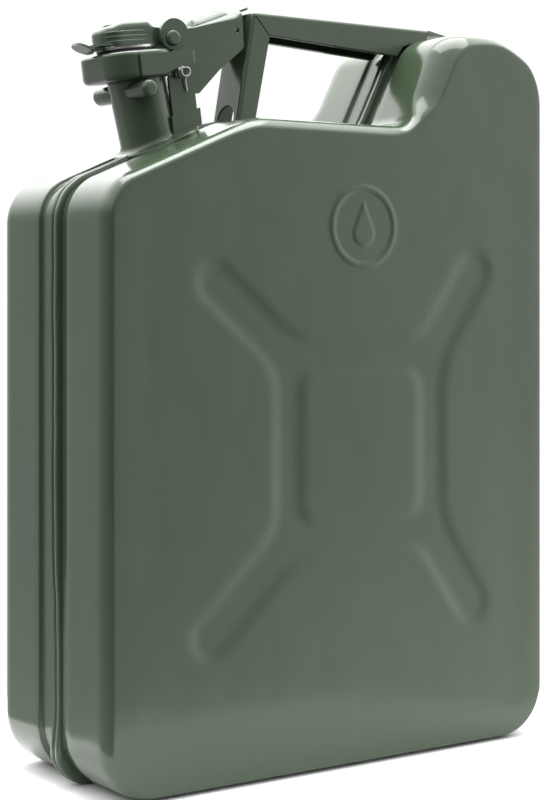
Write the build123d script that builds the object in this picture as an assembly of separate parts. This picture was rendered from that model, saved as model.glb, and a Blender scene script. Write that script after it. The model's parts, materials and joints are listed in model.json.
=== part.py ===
from build123d import *
import math

# Ten-litre pressed steel fuel can with a cam-lever closure.
# Millimetres, +Z up, origin at the middle of the footprint, spout towards -X, emblem face at -Y.

# --- tank ---
WIDTH = 278.0
DEPTH = 108.0
SHEET = 1.0
FLOOR_Z = 331.3            # floor of the hand gap
HUMP_Z = 383.5             # top of the hump that holds the handle's far end
SHOULDER_LEFT_Z = 294.5    # height of the shoulder line at the left side
SHOULDER_TOP_X = -51.5     # where the shoulder reaches the gap floor
HUMP_FOOT_X = 47.0
HUMP_HEAD_X = 73.5
FOOT_R = 28.0
SHOULDER_R = 24.0
BROW_R = 40.0
GAP_R = 13.0
HUMP_LEFT_R = 22.0
HUMP_RIGHT_R = 37.0
EDGE_R = 6.0               # pressing radius round the big faces
GROOVE_DEPTH = 2.0         # seam channel round the middle of the tank
GROOVE_HALF = 14.0
RIDGE_MID = -2.0           # the two welded flanges that stand up in the channel
RIDGE_HALF = 4.2
RIDGE_OUT = 1.2            # how far it stands outside the tank, except underneath
KEEL_R = 18.0              # the ridge is squarer than the tank at its two feet

# --- pressed panel pattern ---
PANEL_DEPTH = 2.4
FRAME_X = 12.0
FRAME_Z = 164.8
FRAME_W = 108.0
FRAME_H = 109.0
PLATE_W = 77.0
PLATE_H = 75.0
FRAME_R = 9.0
ARM_WIDTH = 20.0
ARM_ROOT = 10.0            # how far inside the frame's corner each arm starts
ARM_ENDS = [(-78.0, 248.0), (-81.0, 75.0), (86.0, 77.0), (88.0, 255.0)]
EMBLEM_X = 13.0
EMBLEM_Z = 277.5
EMBLEM_R = 21.2
EMBLEM_LINE = 2.6
EMBLEM_RISE = 0.7
DROP_R = 6.5
DROP_LOW = 3.5             # drop's round part below the ring's centre
DROP_TIP = 12.5

# --- neck and closure, in a frame that leans towards the spout side ---
LEAN = 8.0
MOUTH = (-91.0, 0.0, 365.0)
COLLAR_X = (-26.0, 12.0)
COLLAR_HALF = 21.5
COLLAR_H = 14.0
COLLAR_R = 13.0
BORE_X = -6.0
BORE_R = 13.5
NECK_LEAN = 14.0
NECK_X = -2.0              # middle of the neck where it meets the collar
NECK_W = 28.0
NECK_D = 30.0
NECK_R = 13.0
NECK_WALL = 1.5
NECK_LENGTH = 46.0
LUG_X = -9.5
LUG_Z = -19.6
LUG_R = 4.7
LUG_REACH = 26.0
PIVOT_X = 13.0
PIVOT_Z = 5.0
PIN_R = 2.2
RUNNING = 0.05             # radial clearance of pins in their holes
EAR_IN = 12.7
EAR_T = 1.8
LEVER_OUT = 12.2
LEVER_T = 1.2
CARRIER_OUT = 10.6
CARRIER_T = 1.2
SEAL_R = 15.3
GASKET_R = 14.8
RETAINER_R = 8.9
STUD_R = 2.0
BORE_DEPTH = 12.0
FLANGE_L = 57.0
FLANGE_W = 50.0
FLANGE_R = 14.0
FLANGE_SHIFT = -4.0        # flange centre from the neck's centre, along the slope
FLANGE_T = 2.0
FLANGE_DROP = 34.0         # from the collar down to the shoulder, along the neck
BREATHER_R = 3.0
BREATHER_LENGTH = 80.0
EAR_LEFT = 8.2
EAR_RIGHT = 23.0
EAR_LOBE = (15.0, 6.5)
EAR_LOBE_R = 8.5
EAR_NECK_X = 12.5          # narrow part of the ear, beside the collar
EAR_NECK_Z = -14.5
WEB_T = 1.6
WEB_TOP = -24.6
BELOW_TANK = -70.0         # low enough to be cut off by the shoulder
DOUBLER_T = 1.2
DOUBLER_TOP = -31.0
STOP_REACH = 5.0
STRAP_START = -12.0
STRAP_END = 20.6
STRAP_LOW = -13.0
STRAP_TOP = -2.0
STRAP_T = 1.6
WASHER_T = 0.6
WASHER_R = 5.6
HEAD_R = 4.0
HEAD_T = 2.0
LEVER_WEB_X = 28.0
LEVER_WEB_Z = 9.6
LEVER_RISE = 13.5
LEVER_BACK = 57.0
LEVER_NOSE = -23.7
LEVER_NOSE_X = 24.4
LEVER_EYE_R = 4.6
LEVER_FOLD_R = 4.0
LOCK_HOLE = (55.0, 7.0)
LOCK_HOLE_R = 1.7
BEAD_RISE = 3.2
RIB_LENGTH = 22.0
TAB_RISE = 30.0

# --- handle ---
HANDLE_HALF = 12.0
HANDLE_T = 1.2
HANDLE_TOP_Z = 390.0
LEG_FOOT_X = -38.0         # outer face of the leg at the gap floor
LEG_TOP_X = -27.5
FLANGE_LEG = 11.0
FLANGE_BAR_LEFT = 12.0
FLANGE_BAR_RIGHT = 16.5
BAR_DEEP_X = 70.5          # where the bar's flanges reach their full depth
BAR_END_X = 90.0
CORNER_R = 3.5
TAB_FOLD_X = 112.0
TAB_END_X = 120.0
TAB_DROP = 2.0
TAB_END_HALF = 5.0
NOTCH_W = 16.0
NOTCH_H = 11.0

mouth_plane = Plane(
    origin=MOUTH,
    x_dir=(math.cos(math.radians(LEAN)), 0, math.sin(math.radians(LEAN))),
    z_dir=(-math.sin(math.radians(LEAN)), 0, math.cos(math.radians(LEAN))),
)
slope_angle = math.degrees(math.atan2(FLOOR_Z - SHOULDER_LEFT_Z, SHOULDER_TOP_X + WIDTH / 2))
nodes = {}


def keep(name, shape, colour):
    """Store one sub-part under its node name."""
    shape.label = name
    shape.color = Color(*colour)
    nodes[name] = shape


PAINT = (0.27, 0.31, 0.27)
STEEL = (0.6, 0.61, 0.62)
RUBBER = (0.05, 0.05, 0.05)


def prism(sketch, y_low, y_high):
    """Extrude an X-Z sketch between two Y values."""
    return extrude(Plane.XZ.offset(-y_high) * sketch, amount=y_high - y_low, dir=(0, -1, 0))


def side_box(x_low, z_low, x_high, z_high):
    """Rectangle in a side view, by its corners."""
    return Pos((x_low + x_high) / 2, (z_low + z_high) / 2) * Rectangle(x_high - x_low, z_high - z_low)


def closed_outline(points, radii):
    """Face bounded by straight runs with an arc at each corner."""
    return make_face(FilletPolyline(*points, radius=radii, close=True))


# --- tank ---------------------------------------------------------------------------------------

def tank_outline(inset):
    """Side view of the tank, pulled in by the inset."""
    half = WIDTH / 2
    points = [
        (-half, 0), (half, 0), (half, HUMP_Z), (HUMP_HEAD_X, HUMP_Z), (HUMP_FOOT_X, FLOOR_Z),
        (SHOULDER_TOP_X, FLOOR_Z), (-half, SHOULDER_LEFT_Z),
    ]
    radii = [FOOT_R, FOOT_R, HUMP_RIGHT_R, HUMP_LEFT_R, GAP_R, BROW_R, SHOULDER_R]
    face = closed_outline(points, radii)
    return offset(face, amount=-inset) if inset else face


def ridge_outline():
    """Side view of the welded ridge: the tank's outline grown, with a flat underside at Z = 0."""
    half = WIDTH / 2 + RIDGE_OUT
    foot = closed_outline([(-half, 0), (half, 0), (half, HUMP_Z / 2), (-half, HUMP_Z / 2)],
                          [KEEL_R, KEEL_R, RIDGE_OUT, RIDGE_OUT])
    upper = tank_outline(-RIDGE_OUT) - side_box(-WIDTH, -DEPTH, WIDTH, HUMP_Z / 3)
    return upper + foot


def panel_pattern(grow):
    """Recessed frame with four diagonal arms."""
    pattern = Pos(FRAME_X, FRAME_Z) * RectangleRounded(FRAME_W, FRAME_H, FRAME_R)
    for x, z in ARM_ENDS:
        root_x = FRAME_X + math.copysign(FRAME_W / 2 - ARM_ROOT, x - FRAME_X)
        root_z = FRAME_Z + math.copysign(FRAME_H / 2 - ARM_ROOT, z - FRAME_Z)
        angle = math.degrees(math.atan2(z - root_z, x - root_x))
        length = math.hypot(x - root_x, z - root_z)
        middle = Pos((x + root_x) / 2, (z + root_z) / 2) * Rot(0, 0, angle)
        pattern += middle * SlotCenterToCenter(length, ARM_WIDTH)
    if grow:
        pattern = offset(pattern, amount=grow)
    plate = Pos(FRAME_X, FRAME_Z) * RectangleRounded(PLATE_W - 2 * grow, PLATE_H - 2 * grow, FRAME_R)
    return pattern - plate


def emblem():
    """Raised ring with a drop in it."""
    ring = Circle(EMBLEM_R) - Circle(EMBLEM_R - EMBLEM_LINE)
    bulb = Pos(0, -DROP_LOW) * Circle(DROP_R)
    tip = Polygon((-6.05, -1.1), (6.05, -1.1), (0, DROP_TIP), align=None)
    return Pos(EMBLEM_X, EMBLEM_Z) * (ring + bulb + tip)


def front_edges(solid, y):
    """Edges that bound the big face at this Y."""
    face = solid.faces().filter_by(Axis.Y).sort_by(Axis.Y)[0]
    assert abs(face.center().Y - y) < 0.01
    return face.outer_wire().edges()


def tray(inset, face_y, step_y, radius, pattern):
    """Solid tray shape: wide body, narrower lip at the seam."""
    wide = prism(tank_outline(inset), -face_y, -step_y)
    wide = fillet(front_edges(wide, -face_y), radius)
    lip = prism(tank_outline(inset + GROOVE_DEPTH), -step_y, 0)
    pocket = prism(pattern, -face_y, -face_y + PANEL_DEPTH)
    return wide + lip - pocket


def shell():
    """Front half of the tank, pressed from one sheet."""
    half = DEPTH / 2
    outer = tray(0, half, GROOVE_HALF, EDGE_R, panel_pattern(0))
    inner = tray(SHEET, half - SHEET, GROOVE_HALF + SHEET, EDGE_R - SHEET, panel_pattern(SHEET))
    return outer - inner


def seam_bead():
    """Welded seam standing up along the seam channel."""
    return prism(ridge_outline() - tank_outline(GROOVE_DEPTH), RIDGE_MID - RIDGE_HALF, RIDGE_MID + RIDGE_HALF)


# --- neck ---------------------------------------------------------------------------------------

neck_top = mouth_plane.from_local_coords(Vector(NECK_X, 0, -COLLAR_H))
neck_rad = math.radians(NECK_LEAN)
neck_plane = Plane(
    origin=neck_top,
    x_dir=(math.cos(neck_rad), 0, math.sin(neck_rad)),
    z_dir=(-math.sin(neck_rad), 0, math.cos(neck_rad)),
)


def neck_prism(grow, low, high):
    """Neck section grown by an amount, between two heights along the neck."""
    section = RectangleRounded(NECK_W + 2 * grow, NECK_D + 2 * grow, NECK_R + grow)
    return neck_plane * Pos(0, 0, low) * extrude(section, amount=high - low)


def neck_flange():
    """Plate welded on the shoulder round the neck, with a key that fills the seam channel."""
    middle = neck_plane.from_local_coords(Vector(0, 0, -FLANGE_DROP))
    across = Plane(origin=middle, x_dir=(1, 0, 0), z_dir=(0, 0, 1))
    column = across * Rot(0, -slope_angle, 0) * Pos(FLANGE_SHIFT, 0, 0) * Box(FLANGE_L, FLANGE_W, 60)
    column = fillet(column.edges().filter_by(lambda e: abs(e.length - 60) < 0.01), FLANGE_R)
    plate = prism(tank_outline(-FLANGE_T) - tank_outline(0), -FLANGE_W, FLANGE_W) & column
    key = prism(tank_outline(0) - tank_outline(GROOVE_DEPTH), -GROOVE_HALF, GROOVE_HALF) & column
    return plate + key - neck_prism(0, -NECK_LENGTH - 20, 5)


def above_collar_floor():
    """Everything above the underside of the mouth collar."""
    return mouth_plane * Pos(0, 0, 50 - COLLAR_H) * Box(200, 200, 100)


def neck_tube():
    """Leaning neck from the collar into the tank."""
    tube = neck_prism(0, -NECK_LENGTH, 5) - neck_prism(-NECK_WALL, -NECK_LENGTH - 1, 6)
    return tube - above_collar_floor()


def mouth_collar():
    """Wide collar with the round filling mouth."""
    x_mid = (COLLAR_X[0] + COLLAR_X[1]) / 2
    block = Pos(x_mid, 0, -COLLAR_H) * extrude(
        RectangleRounded(COLLAR_X[1] - COLLAR_X[0], 2 * COLLAR_HALF, COLLAR_R), amount=COLLAR_H)
    block = fillet(block.faces().sort_by(Axis.Z)[-1].edges(), 2.2)
    block = fillet(block.faces().sort_by(Axis.Z)[0].edges(), 3.0)
    block -= Pos(BORE_X, 0, -BORE_DEPTH) * extrude(Circle(BORE_R), amount=BORE_DEPTH + 1)
    return mouth_plane * block - neck_prism(-NECK_WALL, -10, 4)


def breather_tube():
    """Air pipe along the handle side of the neck."""
    ring = Circle(BREATHER_R) - Circle(BREATHER_R - 0.6)
    reach = NECK_W / 2 - NECK_WALL - BREATHER_R - 0.1
    return neck_plane * Pos(reach, 0, -BREATHER_LENGTH) * extrude(ring, amount=BREATHER_LENGTH - 4)


def spout_lug(side):
    """Round lug that a pouring spout clamps on."""
    lug = prism(Pos(LUG_X, LUG_Z) * Circle(LUG_R), 0, LUG_REACH)
    lug = fillet(lug.edges().sort_by(Axis.Y)[-1], 0.8)
    if side < 0:
        lug = mirror(lug, about=Plane.XZ)
    return mouth_plane * lug - neck_prism(0, -NECK_LENGTH, 5)


# --- hinge bracket and pin ----------------------------------------------------------------------

def both_sides(shape):
    """The shape and its mirror image across the middle plane."""
    return shape + mirror(shape, about=Plane.XZ)


def closure_circle(radius, x=PIVOT_X, z=PIVOT_Z):
    """Circle in the closure's side view."""
    return Pos(x, z) * Circle(radius)


def below_flange():
    """Everything under the top face of the neck flange."""
    return prism(tank_outline(-FLANGE_T), -DEPTH, DEPTH)


def hinge_bracket():
    """Two ears on a back web, standing on the neck flange."""
    lobe = closure_circle(EAR_LOBE_R, EAR_LOBE[0], EAR_LOBE[1])
    post = side_box(EAR_LEFT, BELOW_TANK, EAR_RIGHT, EAR_NECK_Z)
    post += side_box(EAR_NECK_X, EAR_NECK_Z, EAR_RIGHT, PIVOT_Z)
    under = side_box(0, EAR_NECK_Z, EAR_NECK_X, 0.5)
    ear = lobe - under + post - closure_circle(PIN_R)
    ears = both_sides(prism(ear, EAR_IN, EAR_IN + EAR_T))
    web = side_box(EAR_RIGHT - WEB_T, BELOW_TANK, EAR_RIGHT, WEB_TOP)
    bracket = ears + prism(web, -EAR_IN, EAR_IN)
    return mouth_plane * bracket - below_flange() - neck_prism(0, -NECK_LENGTH, 5)


def bracket_strap(side):
    """Flat arm along the collar, turned in to meet the ear."""
    arm = prism(side_box(STRAP_START, STRAP_LOW, STRAP_END, STRAP_TOP), COLLAR_HALF, COLLAR_HALF + STRAP_T)
    turn = prism(side_box(STRAP_END - STRAP_T, STRAP_LOW, STRAP_END, STRAP_TOP), EAR_IN + EAR_T, COLLAR_HALF)
    strap = arm + turn
    if side < 0:
        strap = mirror(strap, about=Plane.XZ)
    return mouth_plane * strap


def bracket_doubler():
    """Stiffener folded round the lower half of the bracket."""
    left = EAR_LEFT - 1.5
    right = EAR_RIGHT + DOUBLER_T
    half = EAR_IN + EAR_T
    outline = Polygon((left, BELOW_TANK), (right, BELOW_TANK), (right, DOUBLER_TOP), (left, DOUBLER_TOP - 3),
                      align=None)
    outer = prism(outline, -half - DOUBLER_T, half + DOUBLER_T)
    inner = prism(side_box(left - 10, BELOW_TANK - 10, EAR_RIGHT, 0), -half, half)
    return mouth_plane * (outer - inner) - below_flange() - neck_prism(0, -NECK_LENGTH, 5)


def lever_stop():
    """Folded lip that the closed lever's nose comes down on."""
    lip = side_box(EAR_RIGHT, WEB_TOP - WEB_T, EAR_RIGHT + STOP_REACH, WEB_TOP)
    return mouth_plane * prism(lip, -EAR_IN + 0.1, EAR_IN - 0.1)


def hinge_pin():
    """Headed pin through ears, lever and cap carrier."""
    reach = EAR_IN + EAR_T + WASHER_T
    shank = prism(closure_circle(PIN_R), -reach, reach)
    head = prism(closure_circle(HEAD_R), reach, reach + HEAD_T)
    head = fillet(head.edges().sort_by(Axis.Y)[-1], 1.5)
    return mouth_plane * (shank + both_sides(head))


def pin_washer(side):
    """Washer under a pin head."""
    ring = closure_circle(WASHER_R) - closure_circle(PIN_R)
    washer = prism(ring, EAR_IN + EAR_T, EAR_IN + EAR_T + WASHER_T)
    if side < 0:
        washer = mirror(washer, about=Plane.XZ)
    return mouth_plane * washer


# --- lever --------------------------------------------------------------------------------------

def lever_top(x, drop=0.0):
    """Height of the lever's top web at a place along it."""
    return LEVER_WEB_Z + (x - LEVER_WEB_X) * math.tan(math.radians(LEVER_RISE)) - drop


def lever_profile(drop, x_start, x_end):
    """Side view of the lever tail, with its top lowered by the drop."""
    return Polygon(
        (x_start, lever_top(x_start, drop)), (x_end, lever_top(x_end, drop)), (LEVER_BACK, -3),
        (41, -12.8), (27, LEVER_NOSE), (LEVER_NOSE_X, LEVER_NOSE), (LEVER_NOSE_X, -2), (x_start, -1),
        align=None)


def rounded_top(solid, half, drop, radius):
    """Round the two long edges of the top web."""
    x = (LEVER_WEB_X + LEVER_BACK) / 2
    for y in (-half, half):
        edge = solid.edges().sort_by_distance((x, y, lever_top(x, drop)))[0]
        solid = fillet(edge, radius)
    return solid


def lever_frame():
    """Channel lever: two cheeks on the pin, a top web and a lifting tongue."""
    end = LEVER_BACK + 2.5
    outer = prism(lever_profile(0, LEVER_WEB_X, end), -LEVER_OUT, LEVER_OUT)
    outer = rounded_top(outer, LEVER_OUT, 0, LEVER_FOLD_R)
    start = LEVER_WEB_X - 10
    past = 90.0
    hollow = Polygon((start, lever_top(start, LEVER_T)), (past, lever_top(past, LEVER_T)), (past, -60),
                     (start, -60), align=None)
    inner = prism(hollow, -LEVER_OUT + LEVER_T, LEVER_OUT - LEVER_T)
    inner = rounded_top(inner, LEVER_OUT - LEVER_T, LEVER_T, LEVER_FOLD_R - LEVER_T)
    tail = outer - inner
    join = LEVER_WEB_X + 2
    arm = Polygon((PIVOT_X, PIVOT_Z + LEVER_EYE_R), (join, lever_top(LEVER_WEB_X, 2.6)), (join, -2.5),
                  (LEVER_NOSE_X, -2.5), (PIVOT_X, PIVOT_Z - LEVER_EYE_R), align=None)
    cheek = arm + closure_circle(LEVER_EYE_R) - closure_circle(PIN_R + RUNNING)
    cheeks = both_sides(prism(cheek, LEVER_OUT - LEVER_T, LEVER_OUT))
    along = Plane(origin=(LEVER_BACK, 0, lever_top(LEVER_BACK)),
                  x_dir=(math.cos(math.radians(LEVER_RISE)), 0, math.sin(math.radians(LEVER_RISE))),
                  z_dir=(-math.sin(math.radians(LEVER_RISE)), 0, math.cos(math.radians(LEVER_RISE))))
    tongue = along * Pos(4, 0, -LEVER_T) * extrude(RectangleRounded(18, 13, 5), amount=LEVER_T)
    bead = extrude(SlotOverall(26, 12), amount=BEAD_RISE + 0.5)
    bead = fillet(bead.faces().sort_by(Axis.Z)[-1].edges(), 2.4)
    bead_outer = along * Pos(-13, 0, -0.5) * bead
    bead_inner = along * Pos(-13, 0, -LEVER_T - 0.5) * extrude(SlotOverall(23.6, 9.6), amount=BEAD_RISE + 0.5)
    lock_hole = prism(closure_circle(LOCK_HOLE_R, LOCK_HOLE[0], LOCK_HOLE[1]), -20, 20)
    lever = tail + cheeks + tongue + bead_outer - bead_inner - lock_hole
    return mouth_plane * lever


# --- cap carrier and seal -----------------------------------------------------------------------

def carrier_channel():
    """Pressed channel over the mouth, with the cap's two hinge eyes."""
    points = [(-28, 4), (-28, 8.5), (-23.5, 12.6), (-14, 14.5), (5, 14.5), (9, 11)]
    side = Polygon(*points, (9, 3), (5, 3.2), (2, 4), align=None) + closure_circle(4.5)
    outer = prism(side, -CARRIER_OUT, CARRIER_OUT)
    hollow = Polygon((-26.8, -10), (-26.8, 8), (-22.9, 11.5), (-13.8, 13.3), (5, 13.3), (30, 13.3), (30, -10),
                     align=None)
    inner = prism(hollow, -CARRIER_OUT + CARRIER_T, CARRIER_OUT - CARRIER_T)
    channel = outer - inner - prism(closure_circle(PIN_R + RUNNING), -30, 30)
    window = Pos(-19, 0, 8) * extrude(RectangleRounded(11, 10, 3), amount=20)
    for z in (6.4, 8.6, 10.8):
        bar = Pos(-14, z) * SlotOverall(RIB_LENGTH - (z - 6.4), 1.0)
        channel += both_sides(prism(bar, CARRIER_OUT - 0.1, CARRIER_OUT + 0.25))
    return mouth_plane * (channel - window)


def carrier_base():
    """Plate inside the channel that holds the seal, with the finger tab in front."""
    half = CARRIER_OUT - CARRIER_T
    plate = Pos(-10.9, 0, 4.0) * Box(31.4, 2 * half, 1.2, align=(Align.CENTER, Align.CENTER, Align.MIN))
    rise = math.radians(TAB_RISE)
    tab_plane = Plane(origin=(-28.0, 0, 1.6), x_dir=(-math.cos(rise), 0, math.sin(rise)),
                      z_dir=(math.sin(rise), 0, math.cos(rise)))
    tab = tab_plane * Pos(3.5, 0, 0) * extrude(RectangleRounded(10, 13, 4.9), amount=1.2)
    neck = Pos(-26.6, 0, 1.8) * Box(3.0, 9, 3.4, align=(Align.MIN, Align.CENTER, Align.MIN))
    hole = Pos(BORE_X, 0, 0) * extrude(Circle(STUD_R + 0.08), amount=10)
    return mouth_plane * (plate + tab + neck - hole)


def disc(radius, hole, low, high):
    """Round plate on the mouth's axis."""
    ring = Circle(radius) - Circle(hole) if hole else Circle(radius)
    return mouth_plane * Pos(BORE_X, 0, low) * extrude(ring, amount=high - low)


def seal_stud():
    """Loose rivet that lets the seal plate settle and turn."""
    return disc(STUD_R, 0, 0.4, 5.4) + disc(3.6, 0, 5.3, 6.8)


# --- handle -------------------------------------------------------------------------------------

def handle_profile():
    """Side view of the handle's folded flanges."""
    top_x = LEG_TOP_X
    foot_z = FLOOR_Z - GROOVE_DEPTH
    return Polygon(
        (LEG_FOOT_X, foot_z), (LEG_FOOT_X + FLANGE_LEG, foot_z),
        (top_x + FLANGE_LEG, HANDLE_TOP_Z - FLANGE_BAR_LEFT),
        (BAR_DEEP_X, HANDLE_TOP_Z - FLANGE_BAR_RIGHT), (BAR_END_X, HANDLE_TOP_Z - FLANGE_BAR_RIGHT),
        (BAR_END_X, HANDLE_TOP_Z), (top_x, HANDLE_TOP_Z), align=None)


def handle_channel():
    """Leg and bar folded from one strip, open on the inside."""
    t = HANDLE_T
    outer = prism(handle_profile(), -HANDLE_HALF, HANDLE_HALF)
    corner = outer.edges().filter_by(Axis.Y).sort_by_distance((LEG_TOP_X, 0, HANDLE_TOP_Z))[0]
    outer = fillet(corner, CORNER_R)
    hollow = Polygon(
        (LEG_FOOT_X + t - 2, FLOOR_Z - 11), (90, FLOOR_Z - 11), (BAR_END_X + 5, HANDLE_TOP_Z - t),
        (LEG_TOP_X + t + 0.2, HANDLE_TOP_Z - t), align=None)
    inner = prism(hollow, -HANDLE_HALF + t, HANDLE_HALF - t)
    arch = Pos(LEG_FOOT_X, 0, FLOOR_Z) * Rot(0, 90, 0) * extrude(
        Pos(-2.5, 0) * SlotOverall(NOTCH_H * 2, NOTCH_W), amount=8, both=True)
    return outer - inner - arch - prism(tank_outline(GROOVE_DEPTH), -DEPTH, DEPTH)


def handle_end_tab():
    """Flat tapered end of the bar, folded down on to the welded ridge."""
    fold_z = HANDLE_TOP_Z - TAB_DROP
    low = HUMP_Z - 2 * TAB_END_HALF
    side = Polygon((BAR_END_X, HANDLE_TOP_Z - HANDLE_T), (BAR_END_X, HANDLE_TOP_Z), (TAB_FOLD_X, fold_z),
                   (TAB_END_X, low), (TAB_END_X - HANDLE_T, low), (TAB_FOLD_X - 0.8, fold_z - HANDLE_T), align=None)
    slab = prism(side, -HANDLE_HALF, HANDLE_HALF) - prism(ridge_outline(), -DEPTH, DEPTH)
    plan = Polygon((BAR_END_X, -HANDLE_HALF), (TAB_END_X + 1, -TAB_END_HALF), (TAB_END_X + 1, TAB_END_HALF),
                   (BAR_END_X, HANDLE_HALF), align=None)
    return slab & extrude(Pos(0, 0, low) * plan, amount=HANDLE_TOP_Z - low)


# --- assembly -----------------------------------------------------------------------------------

front = shell() - neck_prism(0.05, -NECK_LENGTH - 20, 5)
keep("back_shell", mirror(front, about=Plane.XZ), PAINT)
keep("front_shell", front + prism(emblem(), -DEPTH / 2 - EMBLEM_RISE, -DEPTH / 2 + SHEET / 2), PAINT)
flange = neck_flange()
keep("neck_flange", flange, PAINT)
handle = handle_channel()
keep("seam_bead", seam_bead() - neck_prism(0.6, -NECK_LENGTH - 20, 5) - flange - handle, PAINT)
keep("neck_tube", neck_tube(), PAINT)
keep("mouth_collar", mouth_collar(), PAINT)
keep("breather_tube", breather_tube(), STEEL)
keep("hinge_bracket", hinge_bracket(), PAINT)
keep("bracket_doubler", bracket_doubler(), PAINT)
keep("lever_stop", lever_stop(), PAINT)
keep("hinge_pin", hinge_pin(), PAINT)
for side, word in ((-1, "front"), (1, "back")):
    keep("spout_lug_" + word, spout_lug(side), PAINT)
    keep("bracket_strap_" + word, bracket_strap(side), PAINT)
    keep("pin_washer_" + word, pin_washer(side), PAINT)
keep("lever_frame", lever_frame(), PAINT)
keep("carrier_channel", carrier_channel(), PAINT)
keep("carrier_base", carrier_base(), PAINT)
keep("seal_plate", disc(SEAL_R, STUD_R, 1.8, 3.0), STEEL)
keep("seal_gasket", disc(GASKET_R, RETAINER_R + 0.1, 0.1, 1.8), RUBBER)
keep("seal_retainer", disc(RETAINER_R, STUD_R, 0.4, 1.8), STEEL)
keep("seal_spring_washer", disc(5.5, STUD_R, 3.0, 3.9), STEEL)
keep("seal_stud", seal_stud(), STEEL)
keep("handle_channel", handle, PAINT)
keep("handle_end_tab", handle_end_tab(), PAINT)

for name, shape in nodes.items():
    export_step(shape, "parts/" + name + ".step")
    box = shape.bounding_box()
    print(name, len(shape.solids()), shape.is_valid, round(shape.volume, 1), box.min, box.max)
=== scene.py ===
import bmesh
import bpy
import json
import math
import numpy as np
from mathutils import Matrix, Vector, geometry, noise


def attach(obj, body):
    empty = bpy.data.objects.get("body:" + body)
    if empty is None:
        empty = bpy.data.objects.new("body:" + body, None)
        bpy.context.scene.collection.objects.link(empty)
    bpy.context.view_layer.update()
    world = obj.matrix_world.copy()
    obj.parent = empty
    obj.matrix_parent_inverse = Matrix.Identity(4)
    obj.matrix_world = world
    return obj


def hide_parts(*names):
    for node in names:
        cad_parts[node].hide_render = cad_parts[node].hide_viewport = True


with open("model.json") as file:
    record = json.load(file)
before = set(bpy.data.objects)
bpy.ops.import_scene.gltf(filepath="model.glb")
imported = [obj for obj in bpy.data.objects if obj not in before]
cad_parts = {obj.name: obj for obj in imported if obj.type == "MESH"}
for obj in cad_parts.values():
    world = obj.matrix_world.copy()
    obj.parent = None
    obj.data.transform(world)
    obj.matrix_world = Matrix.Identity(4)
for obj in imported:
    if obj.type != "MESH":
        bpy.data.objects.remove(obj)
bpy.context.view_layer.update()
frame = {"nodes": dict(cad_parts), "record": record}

# A ten-litre pressed steel fuel can with a cam-lever closure.
# Shapes are worked out in millimetres and stored in metres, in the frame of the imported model.

MM = 0.001

# --- tank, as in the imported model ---
HALF_WIDTH = 139.0
HALF_DEPTH = 54.0
FLOOR_Z = 331.3            # floor of the gap under the handle
# X, Z and radius of each corner of the side view
TANK_CORNERS = [
    (-139.0, 0.0, 28.0), (139.0, 0.0, 28.0), (139.0, 383.5, 37.0), (73.5, 383.5, 22.0),
    (47.0, 331.3, 13.0), (-51.5, 331.3, 40.0), (-139.0, 294.5, 24.0),
]
RIDGE_CORNERS = [
    (-140.2, 0.0, 18.0), (140.2, 0.0, 18.0), (140.2, 384.7, 38.2), (72.76, 384.7, 23.2),
    (46.26, 332.5, 11.8), (-51.26, 332.5, 41.2), (-140.2, 295.3, 25.2),
]
SHEET = 1.0
CHANNEL_DEPTH = 2.0
CHANNEL_HALF = 14.0
CHANNEL_LIP_R = 1.3
CHANNEL_ROOT_R = 0.9
# roll between the sides and the big faces: depth, inset, power and radius of the crease at its end
SIDE_ROLL = (11.0, 2.2, 3.6, 2.2)
TOP_ROLL = (10.0, 4.6, 2.3, 2.6)
SLOPE_ROLL = (15.0, 8.0, 2.0, 2.6)
RIDGE_MID = -2.0
RIDGE_HALF = 4.2

# --- pressed pattern ---
PANEL_DEPTH = 0.7
STEP_WIDTH = 10.0
FRAME_MID = (12.0, 164.8)
FRAME_SIZE = (108.0, 109.0)
PLATE_SIZE = (77.0, 75.0)
FRAME_R = 9.0
ARM_R = 10.0
ARM_ENDS = [(-78.0, 248.0), (-81.0, 75.0), (86.0, 77.0), (88.0, 255.0)]
EMBLEM_MID = (13.0, 277.5)
EMBLEM_R = 21.2
EMBLEM_LINE = 2.6
EMBLEM_RISE = 0.34
DROP_R = 6.5
DROP_LOW = 3.5
DROP_TIP = 12.5

# --- closure frame ---
LEAN = math.radians(8.0)
MOUTH = Vector((-91.0, 0.0, 365.0))
NECK_LEAN = math.radians(14.0)


# --- paint ---
OLIVE_TONES = ((0.048, 0.075, 0.047), (0.051, 0.078, 0.046), (0.055, 0.081, 0.046))
OLIVE_ROUGHNESS = (0.12, 0.20)

# --- light ---
FLOOR_RADIUS = 0.21
# strength of the room round the object: 0 and 1 are towards -Y, 0.25 is -X, 0.5 is +Y and 0.75 is +X
ROOM_LOW = [(0.0, 0.10), (0.10, 0.10), (0.18, 0.22), (0.28, 0.42), (0.38, 0.52), (0.5, 0.9), (0.75, 1.4),
            (0.86, 2.1), (0.90, 1.1), (0.925, 0.55), (0.955, 0.12), (1.0, 0.10)]
ROOM_HIGH = [(0.0, 1.5), (0.12, 1.4), (0.25, 2.2), (0.5, 4.4), (0.75, 3.4), (0.9, 2.2), (1.0, 1.5)]
ROOM_RISE = (0.12, 0.62)
TOP_LIGHT_PLACE = (0.05, 0.12, 1.5)
TOP_LIGHT_SIZE = (1.1, 0.9)
TOP_LIGHT_WATTS = 20.0
TOP_LIGHT_AIM = (0.0, 0.0, 0.2)

# --- camera ---
CAMERA_PLACE = (-0.5735, -0.8105, 0.2413)
CAMERA_HEADING = math.radians(35.16)
CAMERA_LENS = 83.475
CAMERA_SHIFT = (-0.00875, -0.129)


# --- materials ---

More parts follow.
